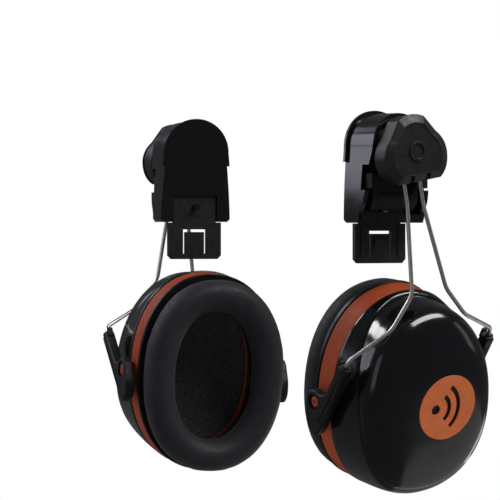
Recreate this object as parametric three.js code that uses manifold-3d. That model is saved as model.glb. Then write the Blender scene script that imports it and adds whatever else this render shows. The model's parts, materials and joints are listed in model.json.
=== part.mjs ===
// Helmet-mounted ear defenders: a left and a right unit, each a clip for a helmet's side slot, a hinged
// carrier, a swivelling knob, a steel wire yoke with two moulded arms, and a cushioned ear cup.
// Millimetres. +X is the wearer's left, -Y the front, +Z up; the origin is midway between the slot mouths.
//
// Each unit is drawn once in its own frame, X away from the head and Z up, with the origin where the clip's
// bottom edge meets the helmet. The right unit is the same set of pieces, mirrored.
import * as THREE from 'three';
import { mergeVertices } from 'three/addons/utils/BufferGeometryUtils.js';
import Module from 'manifold-3d';

const wasm = await Module();
wasm.setup();

// ---- driving dimensions -------------------------------------------------------------------------------
const DEG = Math.PI / 180;
const CLEARANCE = 0.3;
const HALF_HELMET = 103.5; // slot mouth from the middle of the helmet
const UNIT_YAW = 6.2 * DEG; // the helmet's sides face a little to the rear
// how each unit is left standing: knob swing, yoke slid up, cup tipped on its pins
const POSTURE = {
  left: { swing: 9.8 * DEG, slide: 0, tilt: 18.7 * DEG },
  right: { swing: -1.3 * DEG, slide: 3.7, tilt: -5.4 * DEG },
};

const CLIP = { height: 54, halfWidth: 19.8, archRadius: 17, wall: 2.6, lean: 3 * DEG, rimZ: 30 };
const BLADE = { width: 30, length: 20, thick: 2.6, back: 0.6 };
const ADAPTER_SCREW = { z: 8, head: 2.8, headFrom: 5.9, headTo: 7.7, shank: 1.4, shankTo: 1.2, hole: 1.7 };
const FLIP = { x: 8, z: 42, pinRadius: 1.3, pinReach: 14.9, barrel: 10.4 };
const CARRIER = { back: 10, front: 16.5, halfWidth: 13.4, bottom: 6, archZ: 36.3, lug: 16.6 };
const KNOB_SCREW = { head: 3.5, headRise: 1.5, headThick: 1.4, shank: 1.5, shankTo: 13, hole: 1.8 };
const KNOB = { z: 35, face: 35.5, depth: 13.6, capDepth: 3, bevel: 4, bevelDeep: 2, post: 5.5, gap: 1.2 };
const WIRE = { radius: 1.05, x: 26.5, halfGap: 4.75, top: 4, bendRadius: 3.2 };
const ARM = { inner: 41, thick: 5.2, lean: 45 * DEG, edge: 11.5, top: 33, bottom: -15.5, boss: 6.2 };
const PIN = { x: -18.7, z: -82.7, radius: 3, inCup: 6.5 };
const CUP = { a: 38.9, b: 52, ring: 11.6, depth: 46.5, step: 35.5, driftY: 0.3 };
const CUSHION = { a: 39.6, b: 52, back: -3.1, thick: 16.5, y: 0.7, z: -1 };
const BADGE = { y: 7, z: 1, radius: 17, thick: 1, dot: 2.6, dotY: -7 };
const BADGE_ARC = { radii: [7, 12.6], width: 2.4, half: 50 * DEG };
const SOCKET = 8.5; // middle of the arm's wire socket, out from the pin
const OVAL = 2.2; // exponent of the cup's oval outline: 2 is an ellipse, more is squarer
const AROUND = 30; // corners round an oval

// ---- materials ----------------------------------------------------------------------------------------
const finish = (color, roughness, metalness = 0) => ({ color, roughness, metalness });
const GLOSS_BLACK = finish('#0d0e10', 0.16);
const SATIN_BLACK = finish('#17181a', 0.45);
const MATTE_BLACK = finish('#111213', 0.65);
const ORANGE = finish('#93381f', 0.42);
const BADGE_ORANGE = finish('#b4572c', 0.4);
const STEEL = finish('#a8a29d', 0.28, 1);
const SOFT_BLACK = finish('#1b1a1e', 0.6);
const FOAM = finish('#121315', 0.95);

// ---- solids -------------------------------------------------------------------------------------------
function signedVolume(position, index) {
  const [a, b, c] = [new THREE.Vector3(), new THREE.Vector3(), new THREE.Vector3()];
  let sum = 0;
  for (let i = 0; i < index.count; i += 3) {
    a.fromBufferAttribute(position, index.getX(i));
    b.fromBufferAttribute(position, index.getX(i + 1));
    c.fromBufferAttribute(position, index.getX(i + 2));
    sum += a.dot(b.cross(c));
  }
  return sum / 6;
}

// one closed solid from a closed geometry, its faces turned outward
function solid(geometry) {
  const bare = geometry.clone();
  for (const name of ['normal', 'uv']) bare.deleteAttribute(name);
  const merged = mergeVertices(bare, 1e-4);
  const corners = Array.from(merged.index.array);
  const flipped = signedVolume(merged.attributes.position, merged.index) < 0;
  const kept = [];
  for (let i = 0; i < corners.length; i += 3) {
    const [a, b, c] = corners.slice(i, i + 3);
    if (a === b || b === c || c === a) continue;
    kept.push(...(flipped ? [a, c, b] : [a, b, c]));
  }
  const mesh = new wasm.Mesh({
    numProp: 3,
    vertProperties: new Float32Array(merged.attributes.position.array),
    triVerts: new Uint32Array(kept),
  });
  return new wasm.Manifold(mesh);
}

function geometryOf(body) {
  const mesh = body.getMesh();
  const geometry = new THREE.BufferGeometry();
  const points = new Float32Array((mesh.vertProperties.length / mesh.numProp) * 3);
  for (let i = 0; i < points.length / 3; i += 1) {
    for (let k = 0; k < 3; k += 1) points[3 * i + k] = mesh.vertProperties[mesh.numProp * i + k];
  }
  geometry.setAttribute('position', new THREE.BufferAttribute(points, 3));
  geometry.setIndex(Array.from(mesh.triVerts));
  geometry.computeVertexNormals();
  return geometry;
}

const join = (first, ...others) => others.reduce((sum, other) => sum.add(other), first);
const cut = (first, ...others) => others.reduce((sum, other) => sum.subtract(other), first);

function piece(name, body, look, position = [0, 0, 0]) {
  const mesh = new THREE.Mesh(geometryOf(body), new THREE.MeshStandardMaterial(look));
  mesh.name = name;
  mesh.position.set(...position);
  return mesh;
}

function box(x, y, z) {
  const geometry = new THREE.BoxGeometry(x[1] - x[0], y[1] - y[0], z[1] - z[0]);
  return solid(geometry.translate((x[0] + x[1]) / 2, (y[0] + y[1]) / 2, (z[0] + z[1]) / 2));
}

// a rod along X, Y or Z between two stations, through the point given by its other two coordinates
function rod(axis, radius, from, to, p = 0, q = 0, sides = 16) {
  const geometry = new THREE.CylinderGeometry(radius, radius, to - from, sides);
  const middle = (from + to) / 2;
  if (axis === 'x') return solid(geometry.rotateZ(-Math.PI / 2).translate(middle, p, q));
  if (axis === 'z') return solid(geometry.rotateX(Math.PI / 2).translate(p, q, middle));
  return solid(geometry.translate(p, middle, q));
}

// a front outline (across, up) made solid from one X station to another
function frontPlate(shape, from, to, options = {}) {
  const settings = { depth: to - from, bevelEnabled: false, curveSegments: 6, ...options };
  const geometry = new THREE.ExtrudeGeometry(shape, settings);
  const turn = new THREE.Matrix4().set(0, 0, 1, from, 1, 0, 0, 0, 0, 1, 0, 0, 0, 0, 0, 1);
  return solid(geometry.applyMatrix4(turn));
}

// a side outline (outward, up) made solid from one Y station to another
function sidePlate(shape, from, to) {
  const settings = { depth: to - from, bevelEnabled: false, curveSegments: 6 };
  const geometry = new THREE.ExtrudeGeometry(shape, settings);
  const turn = new THREE.Matrix4().set(1, 0, 0, 0, 0, 0, -1, to, 0, 1, 0, 0, 0, 0, 0, 1);
  return solid(geometry.applyMatrix4(turn));
}

const polygon = (points) => new THREE.Shape(points.map(([x, y]) => new THREE.Vector2(x, y)));

// Oval sections [x, half width, half height, shift in y, rise, lean, bow] skinned one after another. With v
// from -1 at a section's foot to 1 at its top, its points rise by rise * v * v and move along X by
// lean * v + bow * v * v. The first and last section are on the axis, or are the same.
function ovalSkin(sections) {
  const profile = sections.map((_, i) => new THREE.Vector2(1, i));
  const geometry = new THREE.LatheGeometry(profile, AROUND);
  const position = geometry.attributes.position;
  for (let i = 0; i < position.count; i += 1) {
    const [x, a, b, shiftY = 0, rise = 0, lean = 0, bow = 0] = sections[i % sections.length];
    const turn = (Math.floor(i / sections.length) % AROUND) * ((2 * Math.PI) / AROUND);
    const [c, s] = [Math.cos(turn), Math.sin(turn)];
    const reach = (Math.abs(c) ** OVAL + Math.abs(s) ** OVAL) ** (-1 / OVAL);
    const v = reach * s;
    position.setXYZ(i, x + lean * v + bow * v * v, a * reach * c + shiftY, b * v + rise * v * v);
  }
  return solid(geometry);
}

// a section given by [x, reach] at its sides, at its top and at its foot
function leaning([x, a], [topX, topZ], [footX, footZ]) {
  const [lean, middle] = [(topX - footX) / 2, (topX + footX) / 2];
  return [x, a, (topZ + footZ) / 2, CUP.driftY, (topZ - footZ) / 2, lean, middle - x];
}

// a closed ring around one oval, from pairs [x, distance in from the outline]
function ovalRing(a, b, pairs) {
  return ovalSkin([...pairs, pairs[0]].map(([x, inset]) => [x, a - inset, b - inset]));
}

// ---- clip ---------------------------------------------------------------------------------------------
// outline of the clip seen from the front, grown by an amount
function clipOutline(grow) {
  const [w, r, archZ] = [CLIP.halfWidth + grow, CLIP.archRadius + grow, CLIP.height - CLIP.archRadius];
  const shape = new THREE.Shape();
  shape.moveTo(-w + 1.5, -grow);
  shape.lineTo(w - 1.5, -grow);
  shape.lineTo(w, 1.5 - grow);
  shape.quadraticCurveTo(w - 0.5, 16, r, archZ);
  shape.absarc(0, archZ, r, 0, Math.PI);
  shape.quadraticCurveTo(-w + 0.5, 16, -w, 1.5 - grow);
  shape.closePath();
  return shape;
}

// how far out the helmet's side is at a height: it leans in over the slot
const helmetSide = (z) => -Math.tan(CLIP.lean) * z;

// the band between two leaning planes, measured out from the helmet's side
function leaningBand(from, to, reach = 30) {
  const [low, high] = [-5, CLIP.height + 6];
  const corners = [[from, low], [to, low], [to, high], [from, high]];
  return sidePlate(polygon(corners.map(([x, z]) => [helmetSide(z) + x, z])), -reach, reach);
}

function clipShell() {
  const flankEdge = [[-5, 0], [12, 0], [13, 5], [16.4, 11], [18.8, 28], [21.3, 36], [21.2, 43], [18.4, 57],
    [-12, 57]];
  const flanks = frontPlate(clipOutline(0), -10, 24).intersect(sidePlate(polygon(flankEdge), -30, 30));
  const body = flanks.intersect(leaningBand(0, 60));
  const rim = frontPlate(clipOutline(1.5), -12, 12)
    .intersect(leaningBand(0, 1.6))
    .intersect(box([-20, 40], [-30, 30], [CLIP.rimZ, 80]));
  const aboveBottom = box([-20, 40], [-30, 30], [0, 80]);
  const hollow = frontPlate(clipOutline(-CLIP.wall), -10, 30)
    .intersect(leaningBand(3, 60))
    .intersect(box([-20, 40], [-30, 30], [2.6, 80]));
  const footWall = box([0, 5.6], [-CLIP.halfWidth + 1, CLIP.halfWidth - 1], [2, 17]);
  const lip = box([11.5, 13.4], [-CLIP.halfWidth + 1.2, CLIP.halfWidth - 1.2], [0, 4.2]);
  const windows = [-1, 1].map((s) => box([13.5, 30], s > 0 ? [13, 25] : [-25, -13], [16, 28.6]));
  const recess = box([-3, BLADE.back + BLADE.thick + CLEARANCE], [-12.3, 12.3], [-1, 14.3]);
  const screwHole = rod('x', ADAPTER_SCREW.hole, -3, 9, 0, ADAPTER_SCREW.z);
  const bore = rod('y', FLIP.pinRadius + CLEARANCE, 11, FLIP.pinReach + CLEARANCE, FLIP.x, FLIP.z);
  const shell = join(cut(join(body, rim), hollow), footWall, lip).intersect(aboveBottom);
  return cut(shell, ...windows, recess, screwHole, bore, bore.mirror([0, 1, 0]));
}

function slotAdapter() {
  const [near, far] = [BLADE.back, BLADE.back + BLADE.thick];
  const half = BLADE.width / 2;
  const outline = polygon([[-12, 14], [-12, -CLEARANCE], [-half, -CLEARANCE], [-half, 2 - BLADE.length],
    [2 - half, -BLADE.length], [half - 2, -BLADE.length], [half, 2 - BLADE.length], [half, -CLEARANCE],
    [12, -CLEARANCE], [12, 14]]);
  const blade = frontPlate(outline, near, far);
  const tooth = sidePlate(polygon([[far - 0.5, -8], [far + 1.3, -8], [far - 0.5, -16]]), -4, 4);
  const fingerSlots = [-1, 1].map((s) => box([-3, 9], [s * 6 - 0.7, s * 6 + 0.7], [-17, -4]));
  const fingerEnd = box([-3, 9], [-6.7, 6.7], [-5.4, -4]);
  const screwHole = rod('x', ADAPTER_SCREW.hole, -3, 9, 0, ADAPTER_SCREW.z);
  return cut(join(blade, tooth), ...fingerSlots, fingerEnd, screwHole);
}

// a screw along X: a slotted head at its outer end and a plain shank
function screw(z, headFrom, headTo, { head, shank, shankTo }) {
  const body = join(rod('x', head, headFrom, headTo, 0, z), rod('x', shank, shankTo, headFrom + 0.1, 0, z));
  return cut(body, box([headTo - 0.8, headTo + 1], [-head, head], [z - 0.5, z + 0.5]));
}

function detentSpring() {
  const strip = [[5.9, 12], [5.9, 19], [8, 23], [9, 28], [7.4, 34]];
  const shifted = strip.map(([x, z]) => [x + 0.5, z]).reverse();
  return sidePlate(polygon([...strip, ...shifted]), -5, 5);
}

// ---- carrier ------------------------------------------------------------------------------------------
function carrier() {
  const [w, archZ] = [CARRIER.halfWidth, CARRIER.archZ];
  const outline = new THREE.Shape();
  outline.moveTo(-w, CARRIER.bottom);
  outline.lineTo(w, CARRIER.bottom);
  outline.lineTo(w, archZ);
  outline.absarc(0, archZ, w, 0, Math.PI);
  outline.closePath();
  // its top front corner is cut back, so that it clears the clip's arch when it is flipped out
  const profile = polygon([[CARRIER.back, 5], [12.2, 5], [CARRIER.front, 13], [CARRIER.front, 43.5],
    [13, 51], [CARRIER.back, 51]]);
  const plate = frontPlate(outline, 0, 30).intersect(sidePlate(profile, -20, 20));
  const lugs = box([CARRIER.back + 4, 20], [-CARRIER.lug, CARRIER.lug], [17, 24.3]);
  const frontPocket = box([CARRIER.front - 1.5, 30], [-10, 10], [14, 28]);
  const hinge = sidePlate(polygon([[FLIP.x - 3, FLIP.z], [FLIP.x - 1, FLIP.z - 3], [11, FLIP.z - 4],
    [11, FLIP.z + 4], [FLIP.x - 1, FLIP.z + 3]]), -FLIP.barrel, FLIP.barrel);
  const post = rod('x', KNOB.post, CARRIER.front - 1, KNOB.face - KNOB.depth - KNOB.gap, 0, KNOB.z, 28);
  const pinBore = rod('y', FLIP.pinRadius + CLEARANCE, -20, 20, FLIP.x, FLIP.z);
  const screwBore = rod('x', KNOB_SCREW.hole, KNOB_SCREW.shankTo - 1, 30, 0, KNOB.z);
  return cut(join(cut(join(plate, lugs), frontPocket), hinge, post), pinBore, screwBore);
}

// ---- knob ---------------------------------------------------------------------------------------------
// three-lobed outline with a flat foot, seen from outside, centred on the swing axis
function knobOutline(scale = 1) {
  const shape = new THREE.Shape();
  const at = (y, z) => [y * scale, z * scale];
  shape.moveTo(...at(-12.6, -14.8));
  shape.lineTo(...at(12.6, -14.8));
  shape.quadraticCurveTo(...at(18.7, -10.8), ...at(18.6, -1.8));
  shape.quadraticCurveTo(...at(18.1, 4), ...at(13.6, 8));
  shape.lineTo(...at(7.8, 16.2));
  shape.quadraticCurveTo(...at(0, 20.4), ...at(-7.8, 16.2));
  shape.lineTo(...at(-13.6, 8));
  shape.quadraticCurveTo(...at(-18.1, 4), ...at(-18.6, -1.8));
  shape.quadraticCurveTo(...at(-18.7, -10.8), ...at(-12.6, -14.8));
  return shape;
}

// Both knob pieces are drawn around the swing axis: X is still measured from the unit's origin, Z from the
// axis.
function knobBase() {
  const [back, front] = [KNOB.face - KNOB.depth, KNOB.face - KNOB.capDepth];
  const body = frontPlate(knobOutline(0.97), back, front, { curveSegments: 5 });
  const room = WIRE.radius + 0.4;
  const channel = box([WIRE.x - room, 50], [-WIRE.halfGap - room, WIRE.halfGap + room], [-20, 15.4]);
  const counterbore = rod('x', KNOB_SCREW.head + 0.4, back + KNOB_SCREW.headRise - CLEARANCE, 50);
  const screwHole = rod('x', KNOB_SCREW.hole, back - 1, back + 3);
  return cut(body, channel, counterbore, screwHole);
}

function knobCap() {
  const [back, front] = [KNOB.face - KNOB.capDepth + CLEARANCE, KNOB.face];
  const bevel = { bevelEnabled: true, bevelThickness: KNOB.bevelDeep, bevelSize: KNOB.bevel,
    bevelOffset: -KNOB.bevel, bevelSegments: 1, curveSegments: 5 };
  const pebble = frontPlate(knobOutline(), front - 6, front - KNOB.bevelDeep, bevel);
  const face = pebble.intersect(box([back, 60], [-40, 40], [-40, 40]));
  const half = WIRE.halfGap + WIRE.radius;
  const plug = box([WIRE.x + WIRE.radius + 0.4, back + 0.5], [-half, half], [-13.9, 15]);
  const notch = box([front - 2.2, 60], [WIRE.halfGap - 1.3, WIRE.halfGap + 1.3], [-20, -11.6]);
  const markBody = rod('x', 5, front - 0.5, front + 0.5, 0, 0, 28);
  const mark = cut(markBody, rod('x', 3.4, front - 2, front + 2, 0, 0, 28));
  return join(cut(join(face, plug), notch, notch.mirror([0, 1, 0])), mark);
}

const knobWasher = () => {
  const base = KNOB.face - KNOB.depth;
  const [back, front] = [base - KNOB.gap + CLEARANCE, base - CLEARANCE];
  return cut(rod('x', 5, back, front), rod('x', 2, back - 1, front + 1));
};

// ---- wire yoke and its arms ---------------------------------------------------------------------------
// straight runs between the corners, each corner rounded off
function bentWire(corners, radius) {
  const path = new THREE.CurvePath();
  let from = corners[0];
  for (let i = 1; i < corners.length - 1; i += 1) {
    const [before, corner, after] = [corners[i - 1], corners[i], corners[i + 1]];
    const room = Math.min(radius, corner.distanceTo(before) / 2.2, corner.distanceTo(after) / 2.2);
    const enter = corner.clone().lerp(before, room / corner.distanceTo(before));
    const leave = corner.clone().lerp(after, room / corner.distanceTo(after));
    path.add(new THREE.LineCurve3(from, enter));
    path.add(new THREE.QuadraticBezierCurve3(enter, corner.clone(), leave));
    from = leave;
  }
  path.add(new THREE.LineCurve3(from, corners[corners.length - 1]));
  return path;
}

// a point of the arm's side outline: p outward across the arm and a up along it, from the pivot pin
function armPoint(p, a) {
  const [s, c] = [Math.sin(ARM.lean), Math.cos(ARM.lean)];
  return [PIN.x + a * s + p * c, PIN.z + a * c - p * s];
}
const ARM_MIDDLE = ARM.inner + ARM.thick / 2;

function wireYoke() {
  const [endX, endZ] = armPoint(SOCKET, ARM.top - 10);
  const [mouthX, mouthZ] = armPoint(SOCKET, ARM.top + 5.5);
  const bendZ = KNOB.z + WIRE.top;
  const leg = [
    [endX, ARM_MIDDLE, endZ],
    [mouthX, ARM_MIDDLE, mouthZ],
    [23.7, 22.2, -50.1],
    [28, 10.3, -34.8],
    [WIRE.x, WIRE.halfGap, 8],
    [WIRE.x, WIRE.halfGap, bendZ],
  ].map(([x, y, z]) => new THREE.Vector3(x, y, z));
  const mirrored = leg.map((p) => new THREE.Vector3(p.x, -p.y, p.z)).reverse();
  const path = bentWire([...leg, ...mirrored], WIRE.bendRadius);
  const section = new THREE.Shape().absarc(0, 0, WIRE.radius, 0, 2 * Math.PI);
  return solid(new THREE.ExtrudeGeometry(section, { steps: 68, curveSegments: 3, extrudePath: path }));
}

function yokeArm(side) {
  const outline = new THREE.Shape();
  const around = (angle) => armPoint(ARM.boss * Math.cos(angle * DEG), ARM.boss * Math.sin(angle * DEG));
  outline.moveTo(...armPoint(5.4, ARM.top));
  outline.lineTo(...armPoint(ARM.edge, ARM.top));
  outline.lineTo(...armPoint(ARM.edge, -9));
  outline.quadraticCurveTo(...armPoint(ARM.edge, ARM.bottom), ...armPoint(6.2, ARM.bottom));
  outline.quadraticCurveTo(...armPoint(1, ARM.bottom), ...armPoint(-3.5, -8.5));
  for (let angle = 200; angle >= 100; angle -= 20) outline.lineTo(...around(angle));
  outline.quadraticCurveTo(...armPoint(4.2, 7), ...armPoint(5, 12));
  outline.closePath();
  const [inner, outer] = [ARM.inner, ARM.inner + ARM.thick];
  const blank = sidePlate(outline, inner, outer);
  const bore = rod('y', PIN.radius + 0.35, inner - 5, outer + 5, PIN.x, PIN.z, 24);
  const recess = rod('y', PIN.radius + 1.2, outer - 1, outer + 5, PIN.x, PIN.z, 24);
  const length = 14;
  const socket = new THREE.CylinderGeometry(WIRE.radius + 0.5, WIRE.radius + 0.5, length, 16);
  const [sx, sz] = armPoint(SOCKET, ARM.top - 12 + length / 2);
  socket.rotateX(Math.PI / 2).rotateY(ARM.lean).translate(sx, ARM_MIDDLE, sz);
  const ribEdge = [armPoint(4.2, ARM.top + 1.6), armPoint(5.6, ARM.top + 1.6), armPoint(5.6, ARM.top - 4),
    armPoint(4.2, ARM.top - 4)];
  const rib = sidePlate(polygon(ribEdge), ARM_MIDDLE - 1.4, ARM_MIDDLE + 1.4);
  const arm = cut(join(blank, rib), bore, recess, solid(socket));
  return side > 0 ? arm : arm.mirror([0, 1, 0]);
}

// ---- ear cup, drawn from the middle of the ring's head side ---------------------------------------------
// The dome's parting step leans: it is close to the ring at the top and near the face at the foot, where it
// is also drawn in.
function cupShell() {
  const [deep, step, rim] = [CUP.depth, CUP.step, CUP.ring + CLEARANCE];
  const sleeve = [4.9, 7.2].map((inset) => [CUP.a - inset, CUP.b - inset]);
  const outside = [
    [deep, 0, 0, CUP.driftY],
    leaning([deep - 0.3, 19], [deep - 0.3, 21], [deep - 0.2, 20]),
    leaning([deep - 1.5, 28.6], [deep - 1.9, 34.5], [deep - 0.9, 29]),
    leaning([deep - 4.2, 34.9], [deep - 5.5, 43.6], [deep - 2.5, 36.6]),
    leaning([deep - 7.8, 37.8], [deep - 12, 49.4], [deep - 3.9, 40.8]),
    leaning([step + 1.1, 38.3], [24, 50.6], [deep - 5.1, 42.6]),
    leaning([step, 38.2], [16, 50.5], [deep - 6.5, 43.4]),
    leaning([step - 0.8, 38.8], [15.2, 51.2], [deep - 8.1, 46.2]),
    leaning([22, 39.4], [14.2, 52.2], [26, 49.8]),
    leaning([rim, 39.9], [rim, 52.8], [rim, 51.7]), [rim, ...sleeve[0]], [2.3, ...sleeve[0]],
  ];
  const inside = [
    [2.3, ...sleeve[1]], [13, ...sleeve[1]],
    leaning([16, 36.3], [15.4, 48.2], [17, 48.4]),
    leaning([24, 36.6], [24, 48], [26, 47]),
    leaning([step - 1.5, 35.9], [31, 47.2], [36, 43.8]),
    leaning([deep - 8, 34], [37.5, 41.5], [39.6, 38.6]),
    leaning([deep - 3.9, 24], [deep - 4.1, 29], [deep - 3.7, 25]),
    [deep - 3.2, 0, 0, CUP.driftY],
  ];
  const seat = rod('x', BADGE.radius + CLEARANCE, deep - 1.2, deep + 5, BADGE.y, BADGE.z, 28);
  return cut(ovalSkin([...outside, ...inside]), seat);
}

function pivotRing() {
  const band = ovalRing(CUP.a, CUP.b, [[0, 0], [CUP.ring, 0], [CUP.ring, 4.6], [2, 4.6], [2, 12], [9.5, 12],
    [9.5, 13.5], [0, 13.5]]);
  const outer = ARM.inner + ARM.thick - 0.6;
  const pin = rod('y', PIN.radius, CUP.a - 2.5, outer, PIN.inCup, 0, 20);
  return join(band, pin, pin.mirror([0, 1, 0]));
}

const sealPlate = () => ovalRing(CUP.a, CUP.b, [[-2.8, -0.4], [-0.3, -0.4], [-0.3, 13.8], [-2.8, 13.8]]);

function earCushion() {
  const t = CUSHION.thick;
  const profile = [[0, 2.4], [0.2, 0.5], [0.42, 0], [0.7, 1.3], [0.9, 4.4], [1, 8.6], [0.9, 12.6],
    [0.7, 15.6], [0.42, 17.4], [0.2, 17.2], [0, 16.2]];
  const section = profile.map(([part, inset]) => [CUSHION.back - part * t, inset]);
  return ovalRing(CUSHION.a, CUSHION.b, section).translate([0, CUSHION.y, CUSHION.z]);
}

const acousticFoam = () => ovalSkin([
  [16.5, 0, 0], [16, 15, 24], [13.2, 20, 31], [10, 24, 36.5], [10, 30.8, 43.9], [12.7, 30.8, 43.9],
  [16.8, 34, 46.5], [26, 34, 46.2], [26, 0, 0],
]);

// a plain disc with a dot and two arcs, like spreading sound, cut through it
function cupBadge() {
  const disc = new THREE.Shape().absarc(0, 0, BADGE.radius, 0, 2 * Math.PI);
  disc.holes.push(new THREE.Path().absarc(BADGE.dotY, 0, BADGE.dot, 0, 2 * Math.PI));
  for (const radius of BADGE_ARC.radii) {
    const slot = new THREE.Path();
    slot.absarc(BADGE.dotY, 0, radius, -BADGE_ARC.half, BADGE_ARC.half, false);
    slot.absarc(BADGE.dotY, 0, radius + BADGE_ARC.width, BADGE_ARC.half, -BADGE_ARC.half, true);
    slot.closePath();
    disc.holes.push(slot);
  }
  const front = CUP.depth + 0.1;
  return frontPlate(disc, front - BADGE.thick, front, { curveSegments: 7 });
}

// ---- one unit -----------------------------------------------------------------------------------------
function group(position, rotation, ...children) {
  const made = new THREE.Group();
  made.position.set(...position);
  made.rotation.set(...rotation);
  return made.add(...children);
}

function earUnit(side, posture) {
  const named = (name, body, look, position) => piece(`${side}_${name}`, body, look, position);
  const cup = group([PIN.x, 0, PIN.z], [0, posture.tilt, 0], group([-PIN.inCup, 0, 0], [0, 0, 0],
    named('cup_shell', cupShell(), GLOSS_BLACK),
    named('pivot_ring', pivotRing(), ORANGE),
    named('seal_plate', sealPlate(), GLOSS_BLACK),
    named('ear_cushion', earCushion(), SOFT_BLACK),
    named('acoustic_foam', acousticFoam(), FOAM),
    named('cup_badge', cupBadge(), BADGE_ORANGE, [0, BADGE.y, BADGE.z])));
  const yoke = group([0, 0, posture.slide], [0, 0, 0],
    named('wire_yoke', wireYoke(), STEEL),
    named('yoke_arm_front', yokeArm(-1), SATIN_BLACK),
    named('yoke_arm_rear', yokeArm(1), SATIN_BLACK),
    cup);
  const knob = group([0, 0, KNOB.z], [posture.swing, 0, 0],
    named('knob_base', knobBase(), SATIN_BLACK),
    named('knob_cap', knobCap(), SATIN_BLACK),
    group([0, 0, -KNOB.z], [0, 0, 0], yoke));
  const headFrom = KNOB.face - KNOB.depth + KNOB_SCREW.headRise;
  const knobScrew = screw(KNOB.z, headFrom, headFrom + KNOB_SCREW.headThick, KNOB_SCREW);
  const adapterScrew = screw(ADAPTER_SCREW.z, ADAPTER_SCREW.headFrom, ADAPTER_SCREW.headTo, ADAPTER_SCREW);
  const flipPin = rod('y', FLIP.pinRadius, -FLIP.pinReach, FLIP.pinReach, FLIP.x, FLIP.z);
  return group([0, 0, 0], [0, 0, 0],
    named('clip_shell', clipShell(), GLOSS_BLACK),
    named('slot_adapter', slotAdapter(), SATIN_BLACK),
    named('adapter_screw', adapterScrew, STEEL),
    named('detent_spring', detentSpring(), STEEL),
    named('flip_pin', flipPin, STEEL),
    named('carrier', carrier(), MATTE_BLACK),
    named('knob_washer', knobWasher(), STEEL, [0, 0, KNOB.z]),
    named('knob_screw', knobScrew, STEEL),
    knob);
}

const defenders = new THREE.Group();
const left = group([HALF_HELMET, 0, 0], [0, 0, UNIT_YAW], earUnit('left', POSTURE.left));
const right = group([0, 0, 0], [0, 0, 0],
  group([HALF_HELMET, 0, 0], [0, 0, UNIT_YAW], earUnit('right', POSTURE.right)));
right.scale.x = -1;
defenders.add(left, right);

export default defenders;
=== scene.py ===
"""Helmet-mounted ear defenders: the looks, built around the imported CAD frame.

Shapes are drawn in millimetres in the local frames of each unit (X away from the head, Y to the rear,
Z up) and carried into the row frame, where Blender works in metres, by the frames that the CAD joints give.
"""
import json
import math

import bmesh
import bpy
import numpy as np
from mathutils import Matrix, Vector, noise


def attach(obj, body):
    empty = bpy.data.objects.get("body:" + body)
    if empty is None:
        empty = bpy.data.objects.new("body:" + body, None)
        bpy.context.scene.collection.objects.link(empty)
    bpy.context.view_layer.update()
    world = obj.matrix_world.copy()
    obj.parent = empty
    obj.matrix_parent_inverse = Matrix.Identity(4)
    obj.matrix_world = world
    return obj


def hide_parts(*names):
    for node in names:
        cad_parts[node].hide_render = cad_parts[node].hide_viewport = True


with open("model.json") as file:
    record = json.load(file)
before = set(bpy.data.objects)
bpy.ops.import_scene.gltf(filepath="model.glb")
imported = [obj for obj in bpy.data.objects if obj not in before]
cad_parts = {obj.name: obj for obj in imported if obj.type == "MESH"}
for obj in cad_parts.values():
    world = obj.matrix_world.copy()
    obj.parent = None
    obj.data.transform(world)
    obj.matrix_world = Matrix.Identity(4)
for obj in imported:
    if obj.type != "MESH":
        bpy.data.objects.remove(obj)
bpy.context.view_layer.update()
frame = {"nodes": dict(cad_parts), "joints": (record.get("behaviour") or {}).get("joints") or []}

MM = 0.001
DEG = math.pi / 180
SIDES = {"left": 1, "right": -1}

# ---- sizes, in millimetres -----------------------------------------------------------------------------
CLIP_HEIGHT, CLIP_HALF, ARCH, CLIP_WALL, CLIP_RIM, LEAN = 54, 19.8, 17, 2.6, 30, 3 * DEG
BLADE_HALF, BLADE_LENGTH, BLADE_THICK, BLADE_BACK = 15, 20, 2.6, 0.6
FLIP_X, FLIP_Z, PIN_STEEL = 8, 42, 1.3
KNOB_X, KNOB_Z, KNOB_FACE, KNOB_DEPTH, CAP_DEPTH = 30, 35, 35.5, 13.6, 3
WIRE_R, WIRE_X, WIRE_GAP, WIRE_TOP = 1.05, 26.5, 4.75, 4
ARM_INNER, ARM_THICK, ARM_LEAN, ARM_EDGE = 41, 5.2, 45 * DEG, 11.5
ARM_TOP, ARM_FOOT, ARM_BOSS, SOCKET = 33, -15.5, 6.2, 8.5
PIVOT = Vector((-18.7, 0, -82.7))
PIVOT_R, PIVOT_IN_CUP = 3, 6.5
CUP_A, CUP_B, RING_WIDE, CUP_DEEP, CUP_STEP, CUP_DRIFT = 38.9, 52, 11.6, 46.5, 35.5, 0.3
CUSHION_A, CUSHION_B, CUSHION_Y, CUSHION_Z, CUSHION_BACK, CUSHION_THICK = 39.6, 52, 0.7, -1, -3.1, 16.5
BADGE_R, BADGE_THICK, BADGE_Y, BADGE_Z = 17, 1, 7, 1
OVAL = 2.2
AROUND = 160


# ---- frames --------------------------------------------------------------------------------------------
def joint(name):
    return next(j for j in frame["joints"] if j["name"] == name)


def frame_matrix(x, y, z, origin):
    """millimetres in a local frame to metres in the row frame"""
    turned = Matrix((x, y, z)).transposed().to_4x4()
    return Matrix.Translation(origin) @ turned @ Matrix.Scale(MM, 4)


def placed(x, y, z, origin_of, at):
    """the frame whose local point `at` (millimetres) lies at row point `origin_of`"""
    origin = Vector(origin_of) - (x * at[0] + y * at[1] + z * at[2]) * MM
    return frame_matrix(x, y, z, origin)


def thin_axis(node):
    """the direction in which a flat CAD node is thinnest"""
    points = np.array([v.co for v in frame["nodes"][node].data.vertices])
    spread = np.linalg.svd(points - points.mean(0), full_matrices=False)[2]
    return Vector(spread[2])


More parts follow.
